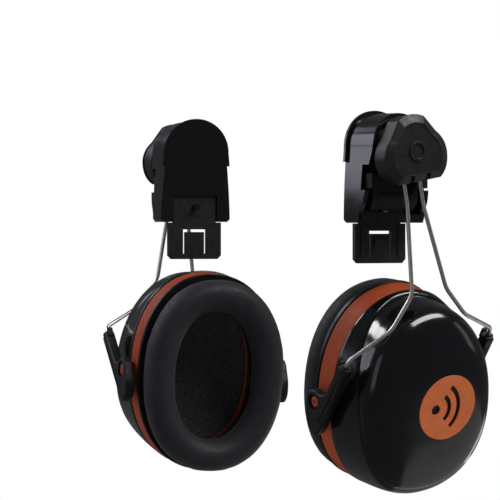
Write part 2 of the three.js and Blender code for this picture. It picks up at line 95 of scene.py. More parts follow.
def unit_frames(side):
    """the clip's, knob's, yoke's and cup's frames of one unit"""
    sign = SIDES[side]
    swing, height, tilt = (joint(f"{side}_{name}") for name in ("swing", "height", "tilt"))
    out, up = Vector(swing["axis"]) * sign, Vector((0, 0, 1))
    clip = placed(out, up.cross(out) * sign, up, swing["pos_m"], (KNOB_X, 0, KNOB_Z))
    leg = Vector(height["axis"])
    rear = leg.cross(out) * sign
    knob = placed(out, rear, leg, swing["pos_m"], (KNOB_X, 0, 0))
    yoke = placed(out, rear, leg, tilt["pos_m"], PIVOT)
    normal = thin_axis(f"{side}_seal_plate")
    normal = normal if normal.dot(out) > 0 else -normal
    pin = Vector(tilt["axis"]) * sign
    normal = (normal - pin * normal.dot(pin)).normalized()
    cup = placed(normal, pin, normal.cross(pin) * sign, tilt["pos_m"], (PIVOT_IN_CUP, 0, 0))
    return {"clip": clip, "knob": knob, "yoke": yoke, "cup": cup}


# ---- mesh building -------------------------------------------------------------------------------------
def new_object(name, points, faces, matrix=None):
    mesh = bpy.data.meshes.new(name)
    mesh.from_pydata([tuple(p) for p in points], [], faces)
    made = bpy.data.objects.new(name, mesh)
    bpy.context.scene.collection.objects.link(made)
    tidy_mesh(made, matrix)
    return made


def tidy_mesh(made, matrix=None, merge=1e-4):
    """welds doubles, turns the faces outward and carries the mesh by the matrix"""
    work = bmesh.new()
    work.from_mesh(made.data)
    bmesh.ops.remove_doubles(work, verts=work.verts, dist=merge)
    if matrix is not None:
        bmesh.ops.transform(work, matrix=matrix, verts=work.verts)
    bmesh.ops.recalc_face_normals(work, faces=work.faces)
    work.to_mesh(made.data)
    work.free()
    made.data.update()


def prism(name, outline, low, high, across="x"):
    """an outline extruded between two stations: along X it is (y, z), along Y it is (x, z)"""
    place = (lambda p, s: (s, p[0], p[1])) if across == "x" else (lambda p, s: (p[0], s, p[1]))
    count = len(outline)
    points = [place(p, s) for s in (low, high) for p in outline]
    sides = [(i, (i + 1) % count, count + (i + 1) % count, count + i) for i in range(count)]
    return new_object(name, points, [tuple(range(count)), tuple(range(count, 2 * count)), *sides])


def block(x, y, z):
    return prism("cutter", [(y[0], z[0]), (y[1], z[0]), (y[1], z[1]), (y[0], z[1])], *x)


def circle(radius, middle=(0, 0), count=64, start=0.0, sweep=2 * math.pi):
    steps = count if abs(sweep) > 2 * math.pi - 1e-6 else count + 1
    turns = [start + sweep * i / count for i in range(steps)]
    return [(middle[0] + radius * math.cos(t), middle[1] + radius * math.sin(t)) for t in turns]


def rod(axis, radius, low, high, middle=(0, 0), count=48):
    """a cylinder along X through (y, z), or along Y through (x, z)"""
    return prism("cutter", circle(radius, middle, count), low, high, axis)


def skin(name, rings, matrix=None, loop=False):
    """quads between rings of points; open ends that aren't a single point are capped"""
    count = len(rings[0])
    points = [p for ring in rings for p in ring]
    pairs = list(zip(range(len(rings)), range(1, len(rings))))
    if loop:
        pairs.append((len(rings) - 1, 0))
    faces = [(a * count + i, a * count + (i + 1) % count, b * count + (i + 1) % count, b * count + i)
             for a, b in pairs for i in range(count)]
    if not loop:
        last = (len(rings) - 1) * count
        faces += [tuple(range(count)), tuple(range(last, last + count))]
    made = new_object(name, points, faces)
    work = bmesh.new()
    work.from_mesh(made.data)
    bmesh.ops.dissolve_degenerate(work, edges=work.edges, dist=1e-5)
    loose = [f for f in work.faces if f.calc_area() < 1e-10]
    bmesh.ops.delete(work, geom=loose, context="FACES")
    work.to_mesh(made.data)
    work.free()
    tidy_mesh(made, matrix)
    return made


def combine(base, others, operation="DIFFERENCE"):
    """cuts the others from the base, or joins or crosses them, and removes them"""
    for other in others:
        change = base.modifiers.new("combine", "BOOLEAN")
        change.operation, change.solver, change.object = operation, "EXACT", other
        applied(base)
        bpy.data.objects.remove(other)
    return base


def applied(made):
    """turns an object's modifiers into its mesh"""
    evaluated = made.evaluated_get(bpy.context.evaluated_depsgraph_get())
    mesh = bpy.data.meshes.new_from_object(evaluated)
    made.modifiers.clear()
    made.data = mesh
    return made


def rounded(made, width, segments=3, angle=32):
    """bevels every edge sharper than the angle; width in the mesh's own units"""
    bevel = made.modifiers.new("edges", "BEVEL")
    bevel.width, bevel.segments, bevel.limit_method = width, segments, "ANGLE"
    bevel.angle_limit, bevel.miter_outer = angle * DEG, "MITER_ARC"
    bevel.use_clamp_overlap = True
    return applied(made)


def shade(made, angle=35):
    made.data.shade_smooth()
    made.data.set_sharp_from_angle(angle=angle * DEG)
    level = made.modifiers.new("level", "WEIGHTED_NORMAL")
    level.keep_sharp = True
    return applied(made)


def finish_piece(made, side, name, material, body, replaces=(), matrix=None, angle=35):
    """names, shades and dresses a piece, and hangs it on its CAD body"""
    if matrix is not None:
        tidy_mesh(made, matrix, 1e-6)
    shade(made, angle)
    made.name = made.data.name = f"{side}_{name}"
    made.data.materials.clear()
    made.data.materials.append(material)
    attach(made, body if body == "clips" else f"{side}_{body}")
    if replaces:
        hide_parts(*[f"{side}_{node}" for node in replaces])
    return made


# ---- outlines ------------------------------------------------------------------------------------------
def curve2(a, b, c, count=12):
    """points of a quadratic curve from a towards b to c, without its last point"""
    steps = [i / count for i in range(count)]
    return [tuple((1 - t) ** 2 * a[k] + 2 * t * (1 - t) * b[k] + t * t * c[k] for k in (0, 1)) for t in steps]


def inset(outline, amount):
    """an anticlockwise outline moved inward, its corners mitred"""
    points = [Vector(p) for p in outline]
    moved = []
    for i, point in enumerate(points):
        before = (point - points[i - 1]).normalized()
        after = (points[(i + 1) % len(points)] - point).normalized()
        normals = [Vector((-d.y, d.x)) for d in (before, after)]
        middle = (normals[0] + normals[1]).normalized()
        moved.append(tuple(point + middle * amount / max(0.35, middle.dot(normals[0]))))
    return moved


def smooth_run(stations, count):
    """a Catmull-Rom curve through a list of number tuples"""
    table = np.array(stations, float)
    padded = np.vstack([2 * table[0] - table[1], table, 2 * table[-1] - table[-2]])
    made = []
    for i in range(1, len(padded) - 2):
        p0, p1, p2, p3 = padded[i - 1:i + 3]
        for t in np.linspace(0, 1, count, endpoint=False):
            made.append(0.5 * (2 * p1 + (p2 - p0) * t + (2 * p0 - 5 * p1 + 4 * p2 - p3) * t**2
                               + (3 * p1 - p0 - 3 * p2 + p3) * t**3))
    return [tuple(p) for p in made] + [tuple(table[-1])]


def filleted(corners, radius, count=5, closed=True):
    """a closed list of (x, distance) corners with each one rounded"""
    points = [Vector(c) for c in corners]
    made = []
    for i, corner in enumerate(points):
        before, after = points[i - 1], points[(i + 1) % len(points)]
        if not closed and i in (0, len(points) - 1):
            made.append(tuple(corner))
            continue
        room = min(radius, (corner - before).length * 0.45, (after - corner).length * 0.45)
        start = corner + (before - corner).normalized() * room
        end = corner + (after - corner).normalized() * room
        made += curve2(start, corner, end, count) + [tuple(end)]
    return made


def oval_ring(x, a, b, y=0.0, rise=0.0, lean=0.0, bow=0.0, count=AROUND):
    """an oval section; from its foot to its top it may rise, lean and bow along X"""
    ring = []
    for i in range(count):
        c, s = math.cos(2 * math.pi * i / count), math.sin(2 * math.pi * i / count)
        reach = (abs(c) ** OVAL + abs(s) ** OVAL) ** (-1 / OVAL)
        v = reach * s
        ring.append((x + lean * v + bow * v * v, a * reach * c + y, b * v + rise * v * v))
    return ring


def filled(row):
    return (*row, *[0.0] * (7 - len(row)))


def leaning(side, top, foot, y=CUP_DRIFT):
    """a section given by its (x, reach) at the sides, at the top and at the foot"""
    (x, a), (top_x, top_z), (foot_x, foot_z) = side, top, foot
    middle = (top_x + foot_x) / 2
    return x, a, (top_z + foot_z) / 2, y, (top_z - foot_z) / 2, (top_x - foot_x) / 2, middle - x


def oval_band(name, a, b, corners, radius):
    """a closed section of (x, distance in from the outline) carried round an oval"""
    section = filleted(corners, radius)
    return skin(name, [oval_ring(x, a - d, b - d) for x, d in section], loop=True)


# ---- materials -----------------------------------------------------------------------------------------
class Surface:
    """a Principled material with helpers to add bump and mottled roughness"""

    def __init__(self, name, color, roughness, **sockets):
        self.material = bpy.data.materials.new(name)
        self.material.use_nodes = True
        self.tree = self.material.node_tree
        self.shader = self.tree.nodes["Principled BSDF"]
        self.shader.inputs["Base Color"].default_value = (*color, 1)
        self.shader.inputs["Roughness"].default_value = roughness
        for socket, value in sockets.items():
            self.shader.inputs[socket.replace("_", " ")].default_value = value
        self.coords = self.tree.nodes.new("ShaderNodeTexCoord")
        self.height = None

    def add(self, kind, **inputs):
        node = self.tree.nodes.new(kind)
        for name, value in inputs.items():
            socket = node.inputs[name.replace("_", " ")]
            if isinstance(value, bpy.types.NodeSocket):
                self.tree.links.new(value, socket)
            else:
                socket.default_value = value
        return node

    def space(self, stretch=(1, 1, 1), source="Object"):
        mapping = self.add("ShaderNodeMapping", Scale=stretch)
        self.tree.links.new(self.coords.outputs[source], mapping.inputs["Vector"])
        return mapping.outputs[0]

    def noise(self, size, detail=4.0, stretch=(1, 1, 1), source="Object"):
        """noise whose features are about `size` millimetres across"""
        return self.add("ShaderNodeTexNoise", Vector=self.space(stretch, source), Scale=1 / (size * MM),
                        Detail=detail).outputs["Fac"]

    def cells(self, size, feature="F1", stretch=(1, 1, 1)):
        node = self.add("ShaderNodeTexVoronoi", Vector=self.space(stretch), Scale=1 / (size * MM))
        node.feature = feature
        return node.outputs["Distance"]

    def ramp(self, source, low, high, start=0.35, stop=0.65):
        return self.add("ShaderNodeMapRange", Value=source, From_Min=start, From_Max=stop,
                        To_Min=low, To_Max=high).outputs[0]

    def rough(self, source, low, high, start=0.35, stop=0.65):
        self.tree.links.new(self.ramp(source, low, high, start, stop), self.shader.inputs["Roughness"])
        return self

    def tint(self, source, low, high, start=0.35, stop=0.65):
        """mixes the base colour between two colours by a texture"""
        node = self.tree.nodes.new("ShaderNodeMix")
        node.data_type = "RGBA"
        node.inputs[6].default_value, node.inputs[7].default_value = (*low, 1), (*high, 1)
        self.tree.links.new(self.ramp(source, 0, 1, start, stop), node.inputs[0])
        self.tree.links.new(node.outputs[2], self.shader.inputs["Base Color"])
        return self

    def bump(self, source, depth, strength=1.0):
        """adds a bump of about `depth` millimetres"""
        node = self.add("ShaderNodeBump", Height=source, Distance=depth * MM, Strength=strength)
        if self.height is not None:
            self.tree.links.new(self.height, node.inputs["Normal"])
        self.height = node.outputs[0]
        self.tree.links.new(self.height, self.shader.inputs["Normal"])
        return self


def gloss_black():
    made = Surface("gloss_black_abs", (0.0038, 0.004, 0.005), 0.12, Specular_IOR_Level=0.5,
                   Coat_Weight=0.35, Coat_Roughness=0.12)
    made.tint(made.noise(22, 3), (0.0032, 0.0034, 0.0043), (0.0048, 0.005, 0.0062))
    made.rough(made.noise(9, 5), 0.1, 0.17)
    return made.bump(made.noise(14, 2), 0.05, 0.35).bump(made.noise(0.9, 2), 0.002, 0.25).material


def satin_black():
    made = Surface("satin_black_nylon", (0.0115, 0.0118, 0.013), 0.42, Specular_IOR_Level=0.5)
    made.tint(made.noise(6, 4), (0.0095, 0.0098, 0.011), (0.0145, 0.0148, 0.016))
    made.rough(made.noise(2.4, 5), 0.36, 0.5)
    return made.bump(made.cells(0.45), 0.02, 0.35).bump(made.noise(0.35, 3), 0.02, 0.3).material


def arm_black():
    made = Surface("grained_black_nylon", (0.0085, 0.0088, 0.0098), 0.5, Specular_IOR_Level=0.38)
    made.tint(made.noise(6, 4), (0.007, 0.0073, 0.0082), (0.011, 0.0113, 0.0124))
    made.rough(made.noise(2.4, 5), 0.44, 0.58)
    return made.bump(made.cells(0.45), 0.02, 0.35).bump(made.noise(0.35, 3), 0.02, 0.3).material


def matte_black():
    made = Surface("matte_black_nylon", (0.0075, 0.0078, 0.0085), 0.62, Specular_IOR_Level=0.4)
    made.tint(made.noise(5, 4), (0.006, 0.0062, 0.007), (0.0105, 0.0108, 0.0118))
    made.rough(made.noise(1.6, 4), 0.55, 0.72)
    return made.bump(made.cells(0.5), 0.03, 0.45).material


def soft_gloss_black():
    made = Surface("soft_gloss_black_abs", (0.0045, 0.0047, 0.0058), 0.36, Specular_IOR_Level=0.4)
    made.tint(made.noise(18, 3), (0.0038, 0.004, 0.005), (0.0055, 0.0058, 0.007))
    made.rough(made.noise(6, 4), 0.3, 0.42)
    return made.bump(made.noise(1.2, 3), 0.006, 0.3).material


def orange_plastic():
    made = Surface("burnt_orange_abs", (0.375, 0.061, 0.017), 0.52, Specular_IOR_Level=0.18)
    made.tint(made.noise(16, 4), (0.345, 0.054, 0.0155), (0.415, 0.07, 0.019))
    made.rough(made.noise(3, 4), 0.46, 0.58)
    return made.bump(made.cells(0.4), 0.015, 0.3).bump(made.noise(7, 2), 0.03, 0.2).material


def badge_orange():
    made = Surface("emblem_orange_lacquer", (0.76, 0.185, 0.052), 0.4, Specular_IOR_Level=0.25)
    made.tint(made.noise(5, 4), (0.73, 0.172, 0.048), (0.79, 0.198, 0.056))
    made.rough(made.noise(1.5, 4), 0.3, 0.42)
    return made.bump(made.noise(0.4, 3), 0.012, 0.3).material


def steel_wire():
    made = Surface("bright_drawn_steel", (0.84, 0.8, 0.77), 0.36, Metallic=1.0, Anisotropic=0.4)
    made.tint(made.noise(3, 4), (0.78, 0.74, 0.71), (0.9, 0.87, 0.84))
    drawn = made.noise(0.5, 3, (1, 1, 0.06))
    return made.rough(drawn, 0.3, 0.44).bump(drawn, 0.006, 0.4).material


def soft_film():
    made = Surface("soft_black_pu_film", (0.0215, 0.0204, 0.0252), 0.56, Specular_IOR_Level=0.3,
                   Sheen_Weight=0.1, Sheen_Roughness=0.45, Sheen_Tint=(0.8, 0.78, 0.86, 1))
    made.tint(made.noise(7, 4), (0.0195, 0.0185, 0.0228), (0.0238, 0.0226, 0.0278))
    made.rough(made.noise(2.5, 5), 0.5, 0.64)
    grain = made.cells(0.75, "DISTANCE_TO_EDGE")
    made.bump(grain, 0.05, 0.3).bump(made.noise(1.3, 6), 0.05, 0.35)
    return made.bump(made.noise(8, 3), 0.3, 0.3).material


def foam_cells():
    made = Surface("black_open_cell_foam", (0.0065, 0.0068, 0.0075), 0.95, Specular_IOR_Level=0.2)
    pore_pits_and_shade = made.cells(0.9)
    # the tint darkens each pit at the cell centres: painted shade in the foam's pores; the same cells sink
    # the pits in the bump
    made.tint(pore_pits_and_shade, (0.014, 0.0145, 0.016), (0.05, 0.052, 0.056), 0.1, 0.6)
    return made.bump(pore_pits_and_shade, 0.5, 0.8).bump(made.noise(0.45, 4), 0.3, 0.7).material


MATERIALS = {
    "gloss_black": gloss_black(), "satin_black": satin_black(), "matte_black": matte_black(),
    "orange": orange_plastic(), "badge_orange": badge_orange(), "steel": steel_wire(),
    "soft_black": soft_film(), "foam": foam_cells(), "plate": soft_gloss_black(),
    "arm": arm_black(),
}


# ---- clip ----------------------------------------------------------------------------------------------
def clip_outline(grow):
    """the clip from the front, anticlockwise, grown by an amount"""
    half, r, middle = CLIP_HALF + grow, ARCH + grow, CLIP_HEIGHT - ARCH
    right = curve2((half, 1.5 - grow), (half - 0.5, 16), (r, middle), 16)
    left = [(-y, z) for y, z in reversed(curve2((half, 1.5 - grow), (half - 0.5, 16), (r, middle), 16)[1:])]
    arch = circle(r, (0, middle), 64, 0, math.pi)
    return [(-half + 1.5, -grow), (half - 1.5, -grow), *right, *arch, *left, (-half, 1.5 - grow)]


def helmet_side(z):
    return -math.tan(LEAN) * z


def leaning_band(low, high):
    stations = [(low, -5), (high, -5), (high, CLIP_HEIGHT + 6), (low, CLIP_HEIGHT + 6)]
    return prism("band", [(helmet_side(z) + x, z) for x, z in stations], -30, 30, "y")


def clip_shell():
    """the glossy housing: arched flanks round a pocket, a back wall, a foot, a lip and a thin rim"""
    edge = [(-5, 0), (12, 0), (13, 5), *curve2((13.9, 6.8), (16.9, 11), (17.4, 17), 6), (18.8, 28),
            *curve2((19.6, 31), (21.4, 36), (21.2, 43), 6), (18.4, 57), (-12, 57)]
    shell = prism("clip_shell", clip_outline(0), -10, 24)
    combine(shell, [prism("side", edge, -30, 30, "y")], "INTERSECT")
    combine(shell, [leaning_band(0, 60)], "INTERSECT")
    rim = combine(prism("rim", clip_outline(1.5), -12, 12), [leaning_band(0, 1.6)], "INTERSECT")
    combine(rim, [block((-20, 40), (-30, 30), (CLIP_RIM, 80))], "INTERSECT")
    combine(shell, [rim], "UNION")
    hollow = prism("hollow", clip_outline(-CLIP_WALL), -10, 30)
    combine(hollow, [leaning_band(3, 60)], "INTERSECT")
    combine(hollow, [block((-20, 40), (-30, 30), (2.6, 80))], "INTERSECT")
    combine(shell, [hollow])
    combine(shell, [block((0, 5.6), (-CLIP_HALF + 1, CLIP_HALF - 1), (2, 17)),
                    block((11.5, 13.4), (-CLIP_HALF + 1.2, CLIP_HALF - 1.2), (0.02, 4.2))], "UNION")
    combine(shell, [block((-20, 40), (-30, 30), (0, 80))], "INTERSECT")
    cutters = [block((13.5, 30), (s * 19 - 6, s * 19 + 6), (16, 28.6)) for s in (-1, 1)]
    cutters.append(block((-3, BLADE_BACK + BLADE_THICK + 0.3), (-12.3, 12.3), (-1, 14.3)))
    cutters.append(rod("x", 1.7, -3, 9, (0, 8)))
    return rounded(combine(shell, cutters), 0.55, 3)


def slot_adapter():
    """the blade that goes into the helmet's slot, with its springy latch tooth"""
    far, half, length = BLADE_BACK + BLADE_THICK, BLADE_HALF, BLADE_LENGTH
    outline = [(-12, 14), (-12, -0.3), (-half, -0.3), (-half, 2 - length), (2 - half, -length),
               (half - 2, -length), (half, 2 - length), (half, -0.3), (12, -0.3), (12, 14)]
    blade = prism("slot_adapter", outline, BLADE_BACK, far)
    tooth = [(far - 0.5, -8), (far + 1.3, -8), (far - 0.5, -16)]
    combine(blade, [prism("tooth", tooth, -4, 4, "y")], "UNION")
    ribs = [block((far - 0.2, far + 0.5), (s * 11 - 0.8, s * 11 + 0.8), (-length + 3, -2)) for s in (-1, 1)]
    combine(blade, ribs, "UNION")
    slots = [block((-3, 9), (s * 6 - 0.7, s * 6 + 0.7), (-17, -4)) for s in (-1, 1)]
    slots += [block((-3, 9), (-6.7, 6.7), (-5.4, -4)), rod("x", 1.7, -3, 9, (0, 8))]
    return rounded(combine(blade, slots), 0.35, 2)


# ---- carrier -------------------------------------------------------------------------------------------
def carrier():
    """the hinged plate behind the knob, with its side lugs, hinge barrel and knob post"""
    half, middle, back, front = 13.4, 36.3, 10, 16.5
    outline = [(-half, 6), (half, 6), *circle(half, (0, middle), 48, 0, math.pi)]
    side = [(back, 5), (12.2, 5), *curve2((12.2, 6), (16, 9), (front, 14), 6), (front, 43.5), (13, 51),
            (back, 51)]
    plate = combine(prism("carrier", outline, 0, 30), [prism("side", side, -20, 20, "y")], "INTERSECT")
    combine(plate, [block((back + 4, 20), (-16.6, 16.6), (17, 24.3))], "UNION")
    combine(plate, [block((front - 1.5, 30), (-10, 10), (14, 28))])
    barrel = prism("barrel", circle(3.6, (FLIP_X + 0.6, FLIP_Z), 32), -10.4, 10.4, "y")
    post = rod("x", 5.5, front - 1, KNOB_FACE - KNOB_DEPTH - 1.2, (0, KNOB_Z))
    combine(plate, [barrel, post], "UNION")
    combine(plate, [rod("y", PIN_STEEL + 0.3, -20, 20, (FLIP_X, FLIP_Z)), rod("x", 1.8, 12, 30, (0, KNOB_Z))])
    return rounded(plate, 0.4, 2)


# ---- knob ----------------------------------------------------------------------------------------------
def knob_outline(scale=1.0, count=14):
    """the three-lobed outline with a flat foot, anticlockwise from outside, centred on the swing axis"""
    right = [(12.6, -14.8), *curve2((12.6, -14.8), (18.7, -10.8), (18.6, -1.8), count)[1:],
             *curve2((18.6, -1.8), (18.1, 4), (13.6, 8), count), (13.6, 8), (10.7, 12.1), (7.8, 16.2)]
    top = curve2((7.8, 16.2), (0, 20.4), (-7.8, 16.2), 2 * count)[1:]
    left = [(-y, z) for y, z in reversed(right)]
    return [(y * scale, z * scale) for y, z in [*right, *top, *left]]


def knob_base():
    """the knob's deep rear body, open in the middle for the wires"""
    back, front = KNOB_FACE - KNOB_DEPTH, KNOB_FACE - CAP_DEPTH
    stations = [(back, 1.6), (back + 0.3, 0.9), (back + 1.2, 0.35), (back + 3, 0.1), (front - 0.7, 0),
                (front - 0.25, 0.12), (front, 0.5)]
    outline = knob_outline(0.97)
    body = skin("knob_base", [[(x, *p) for p in inset(outline, d)] for x, d in stations])
    room = WIRE_R + 0.4
    cutters = [block((WIRE_X - room, 50), (-WIRE_GAP - room, WIRE_GAP + room), (-20, 15.4)),
               rod("x", 3.9, back + 2, 50, (0, 0)), rod("x", 1.8, back - 1, back + 3, (0, 0))]
    return combine(body, cutters)


def knob_cap():
    """the bevelled cap: mitred facets round a flat face, two wire notches and a plain ring mark"""
    back, front = KNOB_FACE - CAP_DEPTH + 0.3, KNOB_FACE
    stations = [(back, 0.955), (back + 0.12, 0.985), (back + 0.4, 1), (front - 2.05, 1),
                (front - 1.85, 0.988), (front - 0.2, 0.79), (front - 0.05, 0.775), (front, 0.76),
                (front - 0.04, 0.745), (front - 0.3, 0.735)]
    cap = skin("knob_cap", [[(x, *p) for p in knob_outline(scale)] for x, scale in stations])
    half = WIRE_GAP + WIRE_R
    combine(cap, [block((WIRE_X + WIRE_R + 0.4, back + 0.5), (-half, half), (-13.9, 15))], "UNION")
    combine(cap, [block((front - 2.2, 60), (s * WIRE_GAP - 1.3, s * WIRE_GAP + 1.3), (-20, -11.6))
                  for s in (-1, 1)])
    section = [(front - 0.6, 3.5), (front + 0.2, 3.5), (front + 0.42, 3.75), (front + 0.42, 4.75),
               (front + 0.2, 5), (front - 0.6, 5)]
    mark = skin("mark", [[(x, *p) for p in circle(r, count=72)] for x, r in section], loop=True)
    return combine(cap, [mark], "UNION")


# ---- wire yoke and arms --------------------------------------------------------------------------------
def arm_point(p, a):
    """p out across the arm and a up along it, from the pivot pin, as (x, z)"""
    s, c = math.sin(ARM_LEAN), math.cos(ARM_LEAN)
    return PIVOT.x + a * s + p * c, PIVOT.z + a * c - p * s


ARM_MIDDLE = ARM_INNER + ARM_THICK / 2


def bent(corners, radius, count=10):
    """straight runs with each corner rounded, as closely spaced points"""
    points, made = [Vector(c) for c in corners], []
    for i, corner in enumerate(points):
        if i in (0, len(points) - 1):
            made.append(corner)
            continue
        before, after = points[i - 1], points[i + 1]
        room = min(radius, (corner - before).length / 2.2, (after - corner).length / 2.2)
        start = corner.lerp(before, room / (before - corner).length)
        end = corner.lerp(after, room / (after - corner).length)
        for k in range(count + 1):
            t = k / count
            made.append(start * (1 - t) ** 2 + corner * 2 * t * (1 - t) + end * t * t)
    return made


def swept(name, path, radius, matrix=None, count=20):
    """a round rod along a path, its ends capped flat"""
    side = (path[1] - path[0]).orthogonal().normalized()
    rings = []
    for i, point in enumerate(path):
        ahead = (path[min(i + 1, len(path) - 1)] - path[max(i - 1, 0)]).normalized()
        side = (side - ahead * side.dot(ahead)).normalized()
        other = ahead.cross(side)
        rings.append([point + (side * math.cos(t) + other * math.sin(t)) * radius
                      for t in np.linspace(0, 2 * math.pi, count, endpoint=False)])
    return skin(name, rings, matrix)


def wire_yoke():
    end, mouth = arm_point(SOCKET, ARM_TOP - 10), arm_point(SOCKET, ARM_TOP + 5.5)
    leg = [(end[0], ARM_MIDDLE, end[1]), (mouth[0], ARM_MIDDLE, mouth[1]), (23.7, 22.2, -50.1),
           (28, 10.3, -34.8), (WIRE_X, WIRE_GAP, 8), (WIRE_X, WIRE_GAP, KNOB_Z + WIRE_TOP)]
    corners = leg + [(x, -y, z) for x, y, z in reversed(leg)]
    return swept("wire_yoke", bent(corners, 3.2), WIRE_R)


def yoke_arm(side):
    """one moulded arm; side 1 is the rear one"""
    around = [arm_point(ARM_BOSS * math.cos(t * DEG), ARM_BOSS * math.sin(t * DEG))
              for t in range(200, 99, -5)]
    outline = [arm_point(5.4, ARM_TOP), arm_point(ARM_EDGE, ARM_TOP), arm_point(ARM_EDGE, -9)]
    outline += curve2(outline[-1], arm_point(ARM_EDGE, ARM_FOOT), arm_point(6.2, ARM_FOOT))[1:]
    outline += curve2(arm_point(6.2, ARM_FOOT), arm_point(1, ARM_FOOT), arm_point(-3.5, -8.5))
    outline += [*around, *curve2(around[-1], arm_point(4.2, 7), arm_point(5, 12))[1:], arm_point(5, 12)]
    inner, outer = ARM_INNER, ARM_INNER + ARM_THICK
    arm = rounded(prism("yoke_arm", outline, inner, outer, "y"), 1.0, 4)
    recess = prism("recess", [arm_point(8.6, 26), arm_point(8.6, 1), arm_point(7.2, -6), arm_point(9.8, -6),
                              arm_point(9.8, 26)], outer - 0.35, outer + 2, "y")
    bore = rod("y", PIVOT_R + 0.35, inner - 5, outer + 5, (PIVOT.x, PIVOT.z))
    sink = rod("y", PIVOT_R + 1.2, outer - 1, outer + 5, (PIVOT.x, PIVOT.z))
    combine(arm, [recess, bore, sink])
    along = Vector((math.sin(ARM_LEAN), 0, math.cos(ARM_LEAN)))
    x, z = arm_point(SOCKET, ARM_TOP)
    mouth = Vector((x, ARM_MIDDLE, z))
    collar = [swept("collar", [mouth + along * a for a in (-9, -4, 0, 0.5)], 2.75, count=40)]
    combine(arm, collar, "UNION")
    ribs = [prism("rib", [arm_point(ARM_EDGE - 0.5, a - 0.45), arm_point(ARM_EDGE + 0.28, a - 0.2),
                          arm_point(ARM_EDGE + 0.28, a + 0.2), arm_point(ARM_EDGE - 0.5, a + 0.45)],
                  inner + 0.9, outer - 0.9, "y") for a in np.arange(-7, 27, 2.1)]
    flag = [arm_point(4.2, ARM_TOP + 1.6), arm_point(5.6, ARM_TOP + 1.6), arm_point(5.6, ARM_TOP - 4),
            arm_point(4.2, ARM_TOP - 4)]
    combine(arm, [*ribs, prism("flag", flag, ARM_MIDDLE - 1.4, ARM_MIDDLE + 1.4, "y")], "UNION")
    combine(arm, [swept("socket", [mouth + along * a for a in (-12, 0, 3)], WIRE_R + 0.5, count=32)])
    rounded(arm, 0.18, 2, 40)
    if side < 0:
        arm.data.transform(Matrix.Scale(-1, 4, (0, 1, 0)))
        arm.data.flip_normals()
    return arm


# ---- ear cup -------------------------------------------------------------------------------------------
def cup_shell():
    """the glossy dome: a crowned face with a seat for the emblem, a soft shoulder, and a parting step that
    leans back to the ring at the top and is drawn in at the foot"""
    deep, step = CUP_DEEP, CUP_STEP
    crown = [(deep, 0.02, 0.02, CUP_DRIFT), leaning((deep - 0.07, 9), (deep - 0.07, 10), (deep - 0.05, 9.5)),
             leaning((deep - 0.3, 19), (deep - 0.3, 21), (deep - 0.2, 20)),
             leaning((deep - 1.5, 28.6), (deep - 1.9, 34.5), (deep - 0.9, 29)),
             leaning((deep - 4, 34.9), (deep - 5.5, 43.6), (deep - 2.5, 36.6)),
             leaning((deep - 7.8, 37.9), (deep - 12, 49.4), (deep - 3.9, 40.8)),
             leaning((step + 1.1, 38.3), (24, 50.6), (deep - 5.1, 42.6)),
             leaning((step + 0.1, 38.3), (16.1, 50.6), (deep - 6.4, 43.4))]
    groove = [leaning((step - 0.05, 38), (15.95, 50.3), (deep - 6.5, 43.2)),
              leaning((step - 0.4, 38), (15.6, 50.4), (deep - 6.8, 43.6)),
              leaning((step - 0.6, 38.4), (15.4, 50.9), (deep - 7, 44.6)),
              leaning((step - 0.8, 38.75), (15.25, 51.2), (deep - 7.6, 45.6))]
    flank = [leaning((step - 1.2, 38.8), (15.1, 51.3), (deep - 8.6, 46.5)),
             leaning((31, 39), (14.8, 51.7), (34, 47.9)), leaning((22, 39.45), (14.1, 52.2), (26, 49.8)),
             leaning((12.8, 39.9), (12.8, 52.7), (12.8, 51.6))]
    rest = [leaning((12.3, 39.8), (12.3, 52.6), (12.3, 51.5)),
            leaning((11.95, 39.5), (11.95, 52.3), (11.95, 51.2)),
            leaning((11.9, 39), (11.9, 51.8), (11.9, 50.7)), (11.9, 34, 47.1), (2.3, 34, 47.1),
            (2.3, 31.7, 44.8), (13, 31.7, 44.8), leaning((16, 36.3), (15.4, 48.2), (17, 48.4)),
            leaning((24, 36.6), (24, 48), (26, 47)), leaning((step - 1.5, 35.9), (31, 47.2), (36, 43.8)),
            leaning((deep - 8, 34), (37.5, 41.5), (39.6, 38.6)),
            leaning((deep - 3.9, 24), (deep - 4.1, 29), (deep - 3.7, 25)),
            (deep - 3.2, 0.02, 0.02, CUP_DRIFT)]
    rows = [*smooth_run([filled(row) for row in crown], 8), *groove,
            *smooth_run([filled(row) for row in flank], 6), *rest]
    dome = skin("cup_shell", [oval_ring(*row) for row in rows])
    seat = rod("x", BADGE_R + 0.3, deep - 1.2, deep + 5, (BADGE_Y, BADGE_Z), 144)
    return combine(dome, [seat])


def pivot_ring():
    """the orange ring with its inner collar; the pins are joined on as turned studs"""
    corners = [(0, 0), (RING_WIDE, 0), (RING_WIDE, 4.6), (2, 4.6), (2, 12), (9.5, 12), (9.5, 13.5), (0, 13.5)]
    ring = oval_band("pivot_ring", CUP_A, CUP_B, corners, 0.45)
    end = ARM_INNER + ARM_THICK - 0.6
    stud = [(0.02, CUP_A - 2.5), (4.4, CUP_A - 2.5), (4.4, CUP_A + 0.7), (4.1, CUP_A + 1), (3, CUP_A + 1.2),
            (3, end - 0.9), (2.8, end - 0.4), (2.3, end - 0.1), (1.4, end), (1.1, end - 0.1),
            (0.9, end - 0.7), (0.02, end - 0.75)]
    turns = np.linspace(0, 2 * math.pi, 48, endpoint=False)
    for s in (-1, 1):
        rings = [[(PIVOT_IN_CUP + r * math.cos(t), s * d, r * math.sin(t)) for t in turns] for r, d in stud]
        combine(ring, [skin("pin", rings)], "UNION")
    return ring


def seal_plate():
    corners = [(-2.8, -0.4), (-0.3, -0.4), (-0.3, 16), (-2.8, 16)]
    return oval_band("seal_plate", CUP_A, CUP_B, corners, 0.5)


